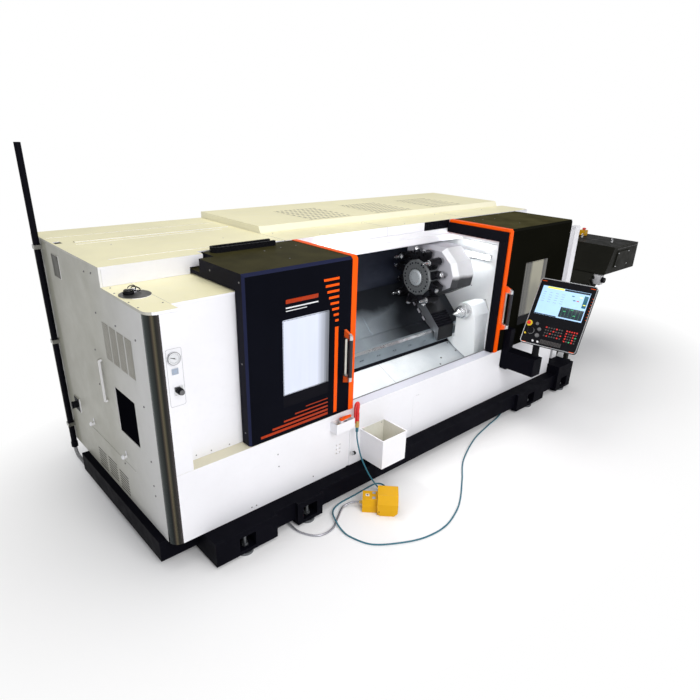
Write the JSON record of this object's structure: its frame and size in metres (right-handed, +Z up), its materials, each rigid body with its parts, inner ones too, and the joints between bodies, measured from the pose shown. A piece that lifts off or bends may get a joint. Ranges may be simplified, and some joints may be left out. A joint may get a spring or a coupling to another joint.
{
  "type": "cnc turning lathe",
  "caption": "Slant-bed turning centre with two sliding doors, tool turret, chuck, tailstock, swivelling control panel, chip conveyor, foot switch and air gun hose.",
  "frame": {"origin": "on the floor under the middle of the machine's outer box, cords left out", "axes": "+X along the spindle to the right as seen from the front, +Y to the back, +Z up"},
  "size_m": [6.184, 2.6771, 2.3803],
  "materials": {
    "white_paint": "satin",
    "grey_paint": "satin",
    "black_paint": "gloss",
    "orange_paint": "gloss",
    "cast": "machined",
    "bright_steel": "ground",
    "tool_steel": "blackened",
    "window_glass": "clear",
    "screen_glass": "gloss",
    "black_plastic": "moulded",
    "yellow_paint": "gloss",
    "red_plastic": "gloss",
    "hose_rubber": "soft",
    "cable_rubber": "soft"
  },
  "bodies": {
    "machine": {"base_frame": "black_paint", "leveling_feet": "bright_steel", "slant_bed": "cast", "headstock": "cast", "left_side_panel": "grey_paint", "corner_post": "bright_steel", "left_front_cover": "white_paint", "left_step_plate": "white_paint", "front_panel": "white_paint", "rear_cabinet": "white_paint", "roof_covers": "white_paint", "roof_hood": "white_paint", "door_track": "white_paint", "right_front_cover": "white_paint", "right_end_panel": "white_paint", "chamber_walls": "grey_paint", "chip_pan": "bright_steel", "work_light": "window_glass", "way_cover_fixed": "bright_steel", "pressure_gauge": "bright_steel", "supply_conduit": "black_paint", "parts_bin": "white_paint", "tool_tray": "white_paint", "conveyor_riser": "black_paint", "conveyor_hood": "black_paint", "lifting_eyes": "bright_steel", "panel_arm": "black_paint", "footswitch_housing": "yellow_paint", "footswitch_cable": "cable_rubber", "air_hose": "hose_rubber", "blow_gun": "red_plastic"},
    "left_door": {"left_door_shell": "black_paint", "left_door_window": "window_glass", "left_door_trim": "orange_paint", "left_door_handle": "black_plastic", "cable_chain": "black_plastic"},
    "right_door": {"right_door_shell": "black_paint", "right_door_window": "window_glass", "right_door_trim": "orange_paint", "right_door_handle": "black_plastic"},
    "middle_cover": {"way_cover_middle": "bright_steel"},
    "saddle": {"saddle": "cast"},
    "cross_slide": {"turret_housing": "grey_paint"},
    "turret": {"turret_disc": "cast", "tool_holders": "tool_steel"},
    "spindle": {"chuck": "bright_steel"},
    "jaw_1": {"chuck_jaw_1": "bright_steel"},
    "jaw_2": {"chuck_jaw_2": "bright_steel"},
    "jaw_3": {"chuck_jaw_3": "bright_steel"},
    "tailstock": {"tailstock": "grey_paint"},
    "centre": {"live_centre": "bright_steel"},
    "panel": {"panel_housing": "black_plastic", "panel_screen": "screen_glass"},
    "panel_stop": {"panel_stop_button": "red_plastic"},
    "handwheel": {"panel_handwheel": "black_plastic"},
    "pedal": {"foot_pedal": "black_plastic"},
    "main_switch": {"main_switch_handle": "red_plastic"},
    "regulator": {"regulator_knob": "black_plastic"},
    "valve": {"valve_lever": "orange_paint"},
    "conveyor_stop": {"conveyor_stop_button": "red_plastic"}
  },
  "joints": [
    {"name": "left_door_slide", "type": "slide", "parent": "machine", "child": "left_door", "axis": [1, 0, 0], "range_m": [0, 0.855]},
    {"name": "right_door_slide", "type": "slide", "parent": "machine", "child": "right_door", "axis": [-1, 0, 0], "range_m": [0, 0.855]},
    {"name": "saddle_slide", "type": "slide", "parent": "machine", "child": "saddle", "axis": [1, 0, 0], "range_m": [-1.25, 0.02]},
    {"name": "cover_slide", "type": "slide", "parent": "machine", "child": "middle_cover", "axis": [1, 0, 0], "range_m": [-0.625, 0.01]},
    {"name": "cross_slide_travel", "type": "slide", "parent": "saddle", "child": "cross_slide", "axis": [0, -0.7071, -0.7071], "range_m": [0, 0.14]},
    {"name": "turret_index", "type": "hinge", "parent": "cross_slide", "child": "turret", "pos_m": [-0.2715, 0.04684, 1.29618], "axis": [1, 0, 0], "continuous": true},
    {"name": "spindle_turn", "type": "hinge", "parent": "machine", "child": "spindle", "pos_m": [-2.0915, -0.25933, 0.99], "axis": [1, 0, 0], "continuous": true},
    {"name": "jaw_1_slide", "type": "slide", "parent": "spindle", "child": "jaw_1", "axis": [0, 0, 1], "range_m": [-0.008, 0.008]},
    {"name": "jaw_2_slide", "type": "slide", "parent": "spindle", "child": "jaw_2", "axis": [0, -0.866, -0.5], "range_m": [-0.008, 0.008]},
    {"name": "jaw_3_slide", "type": "slide", "parent": "spindle", "child": "jaw_3", "axis": [0, 0.866, -0.5], "range_m": [-0.008, 0.008]},
    {"name": "tailstock_slide", "type": "slide", "parent": "machine", "child": "tailstock", "axis": [1, 0, 0], "range_m": [-1.2, 0]},
    {"name": "centre_turn", "type": "hinge", "parent": "tailstock", "child": "centre", "pos_m": [-0.0415, -0.25933, 0.99], "axis": [1, 0, 0], "continuous": true},
    {"name": "panel_swivel", "type": "hinge", "parent": "machine", "child": "panel", "pos_m": [0.3235, -0.90933, 0.7], "axis": [0, 0, 1], "range_deg": [-60, 12]},
    {"name": "panel_stop_push", "type": "slide", "parent": "panel", "child": "panel_stop", "axis": [0.8302, 0.1539, -0.5358], "range_m": [0, 0.005], "stiffness_N_per_m": 2000},
    {"name": "handwheel_turn", "type": "hinge", "parent": "panel", "child": "handwheel", "pos_m": [0.30594, -0.84015, 0.91833], "axis": [-0.8302, -0.1539, 0.5358], "continuous": true},
    {"name": "pedal_press", "type": "hinge", "parent": "machine", "child": "pedal", "pos_m": [-1.63123, -0.9436, 0.034], "axis": [0.7071, 0.7071, 0], "range_deg": [0, 8], "stiffness_Nm_per_rad": 60},
    {"name": "main_switch_turn", "type": "hinge", "parent": "machine", "child": "main_switch", "pos_m": [-3.0615, 0.84967, 0.584], "axis": [1, 0, 0], "range_deg": [0, 90]},
    {"name": "regulator_turn", "type": "hinge", "parent": "machine", "child": "regulator", "pos_m": [-2.9125, -0.62933, 1.205], "axis": [0, 1, 0], "range_deg": [-150, 150]},
    {"name": "valve_turn", "type": "hinge", "parent": "machine", "child": "valve", "pos_m": [-1.7565, -0.65233, 0.65], "axis": [0, 0, -1], "range_deg": [0, 90]},
    {"name": "conveyor_stop_push", "type": "slide", "parent": "machine", "child": "conveyor_stop", "axis": [0, 0, -1], "range_m": [0, 0.006], "stiffness_N_per_m": 3000}
  ],
  "couplings": [
    {"joint": "cover_slide", "follows": "saddle_slide", "ratio": 0.5},
    {"joint": "jaw_2_slide", "follows": "jaw_1_slide", "ratio": 1},
    {"joint": "jaw_3_slide", "follows": "jaw_1_slide", "ratio": 1}
  ]
}
